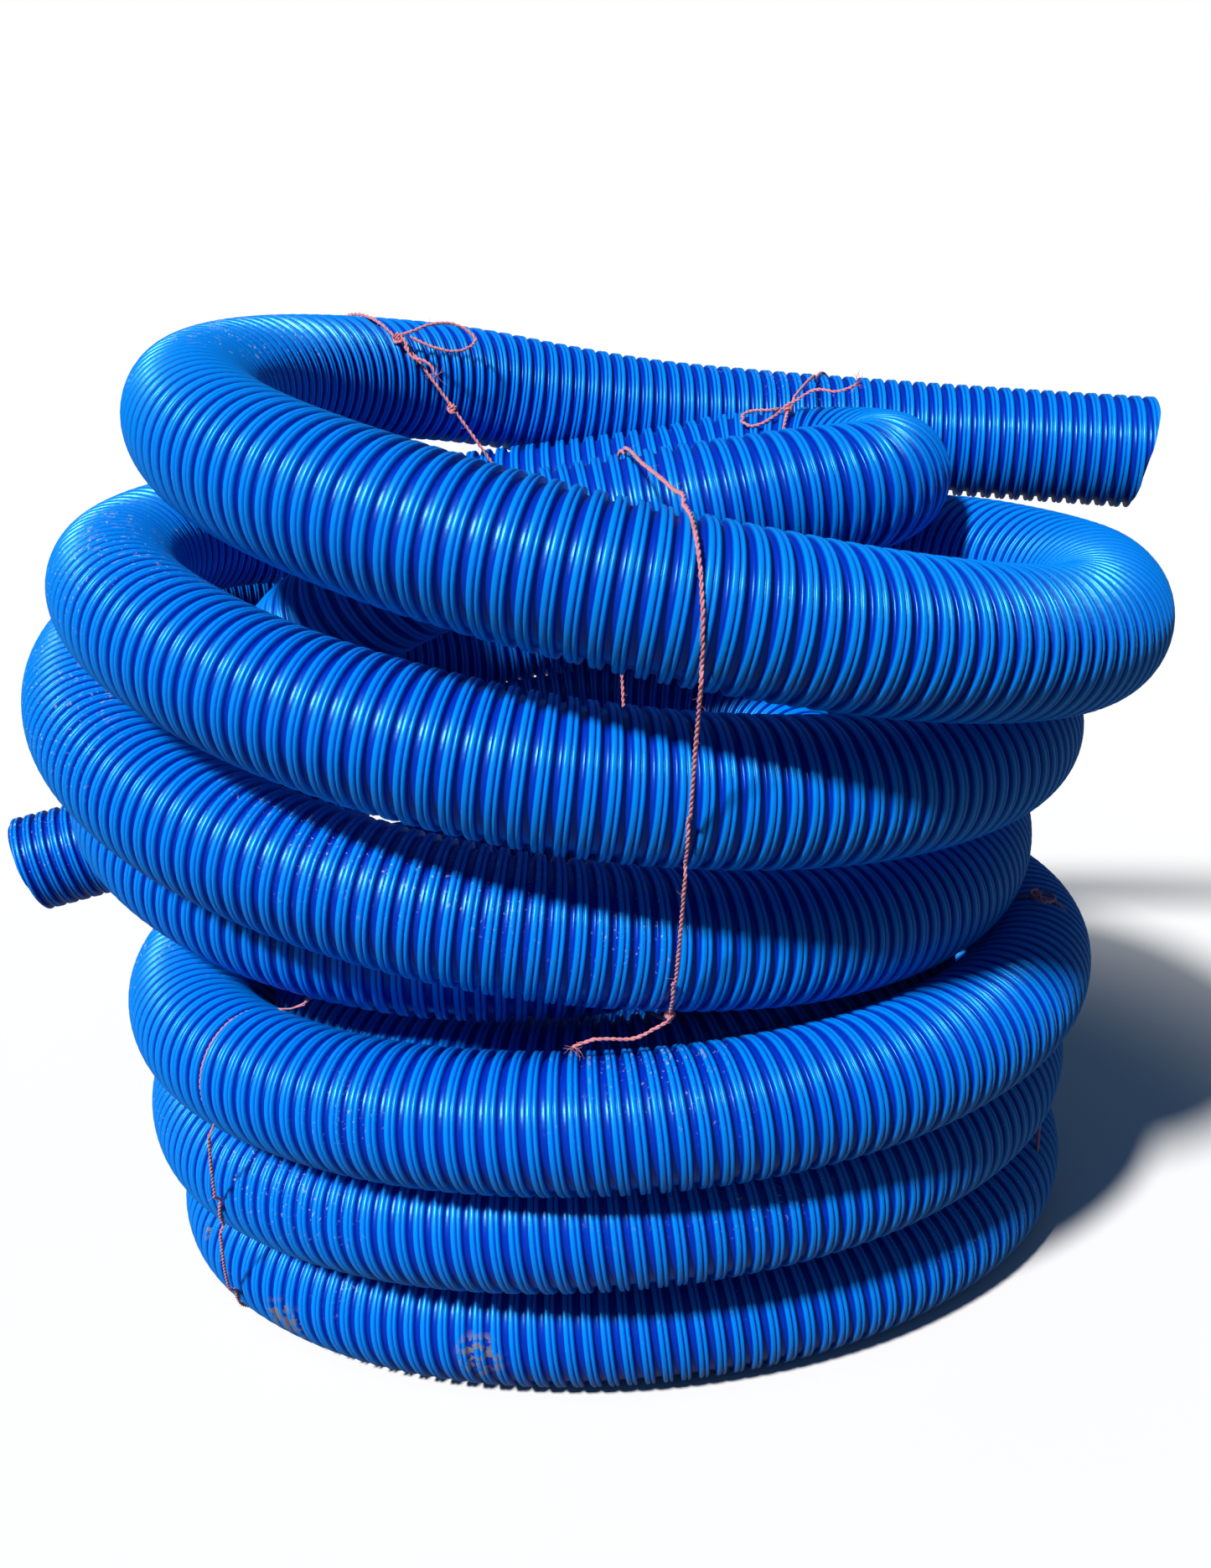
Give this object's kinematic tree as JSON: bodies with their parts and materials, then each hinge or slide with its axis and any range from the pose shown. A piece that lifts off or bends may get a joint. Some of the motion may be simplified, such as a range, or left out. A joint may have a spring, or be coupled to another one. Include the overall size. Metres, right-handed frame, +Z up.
{
  "type": "vacuum hose",
  "caption": "Pile of corrugated pool vacuum hose with plain cut ends, wound into an upper and a lower bundle that are each tied with twine; the upper bundle rests on the lower one.",
  "frame": {"origin": "on the ground, under the middle of the whole pile's bounding box", "axes": "+Z up, front of the pile faces -Y, the free end at the top points to +X"},
  "size_m": [0.5114, 0.435, 0.3725],
  "materials": {
    "hose_plastic": "gloss blue corrugated plastic, dusty in places",
    "twine": "matt salmon twisted twine"
  },
  "bodies": {
    "lower_bundle": {"lower_hose_coil": "hose_plastic", "lower_left_tie": "twine", "lower_right_tie": "twine"},
    "upper_bundle": {"upper_hose_coil": "hose_plastic", "front_tie": "twine", "rear_left_tie": "twine", "rear_right_tie": "twine"},
    "right_end_root": {"right_end_root": "hose_plastic"},
    "right_end_tip": {"right_end_tip": "hose_plastic"},
    "left_end_root": {"left_end_root": "hose_plastic"},
    "left_end_tip": {"left_end_tip": "hose_plastic"},
    "front_tie_tail": {"front_tie_tail": "twine"},
    "rear_left_tie_bow": {"rear_left_tie_bow": "twine"},
    "rear_left_tie_tail": {"rear_left_tie_tail": "twine"},
    "rear_right_tie_bow": {"rear_right_tie_bow": "twine"},
    "rear_right_tie_tail": {"rear_right_tie_tail": "twine"},
    "lower_left_tie_tail": {"lower_left_tie_tail": "twine"},
    "lower_right_tie_bow": {"lower_right_tie_bow": "twine"}
  },
  "joints": [
    {"name": "upper_bundle_lift", "type": "slide", "parent": "lower_bundle", "child": "upper_bundle", "axis": [0, 0, 1], "range_m": [0, 0.25]},
    {"name": "right_end_swing", "type": "hinge", "parent": "upper_bundle", "child": "right_end_root", "pos_m": [0.13366, 0.08173, 0.30332], "axis": [0.1419, -0.0027, 0.9899], "range_deg": [-12, 24], "stiffness_Nm_per_rad": 1.5},
    {"name": "right_end_droop", "type": "hinge", "parent": "right_end_root", "child": "right_end_tip", "pos_m": [0.19287, 0.07673, 0.29535], "axis": [0.1331, 0.991, -0.0167], "range_deg": [-24, 16], "stiffness_Nm_per_rad": 1.5},
    {"name": "left_end_swing", "type": "hinge", "parent": "upper_bundle", "child": "left_end_root", "pos_m": [-0.13365, 0.12937, 0.1507], "axis": [-0.1931, -0.0153, 0.9811], "range_deg": [-24, 14], "stiffness_Nm_per_rad": 1.5},
    {"name": "left_end_droop", "type": "hinge", "parent": "left_end_root", "child": "left_end_tip", "pos_m": [-0.1924, 0.12335, 0.14004], "axis": [-0.1131, 0.9934, -0.0193], "range_deg": [-16, 24], "stiffness_Nm_per_rad": 1.5},
    {"name": "front_tie_tail_swing", "type": "hinge", "parent": "upper_bundle", "child": "front_tie_tail", "pos_m": [0.03467, -0.15285, 0.15427], "axis": [0.0084, -0.5606, -0.828], "range_deg": [-35, 8]},
    {"name": "rear_left_bow_flop", "type": "hinge", "parent": "upper_bundle", "child": "rear_left_tie_bow", "pos_m": [-0.04369, 0.0231, 0.35688], "axis": [-0.5456, 0.1548, 0.8236], "range_deg": [-60, 0]},
    {"name": "rear_left_tail_flop", "type": "hinge", "parent": "upper_bundle", "child": "rear_left_tie_tail", "pos_m": [-0.04369, 0.0231, 0.35688], "axis": [-0.5456, 0.1548, 0.8236], "range_deg": [0, 60]},
    {"name": "rear_right_bow_flop", "type": "hinge", "parent": "upper_bundle", "child": "rear_right_tie_bow", "pos_m": [0.09913, 0.02247, 0.32161], "axis": [0.3304, 0.9077, 0.2588], "range_deg": [0, 60]},
    {"name": "rear_right_tail_flop", "type": "hinge", "parent": "upper_bundle", "child": "rear_right_tie_tail", "pos_m": [0.09913, 0.02247, 0.32161], "axis": [0.3304, 0.9077, 0.2588], "range_deg": [-60, 0]},
    {"name": "lower_left_tail_flop", "type": "hinge", "parent": "lower_bundle", "child": "lower_left_tie_tail", "pos_m": [-0.06072, -0.06039, 0.13506], "axis": [0.4999, 0.0435, 0.865], "range_deg": [0, 50]},
    {"name": "lower_right_bow_flop", "type": "hinge", "parent": "lower_bundle", "child": "lower_right_tie_bow", "pos_m": [0.17799, -0.03809, 0.14275], "axis": [0.1988, -0.0608, 0.9782], "range_deg": [0, 50]}
  ]
}
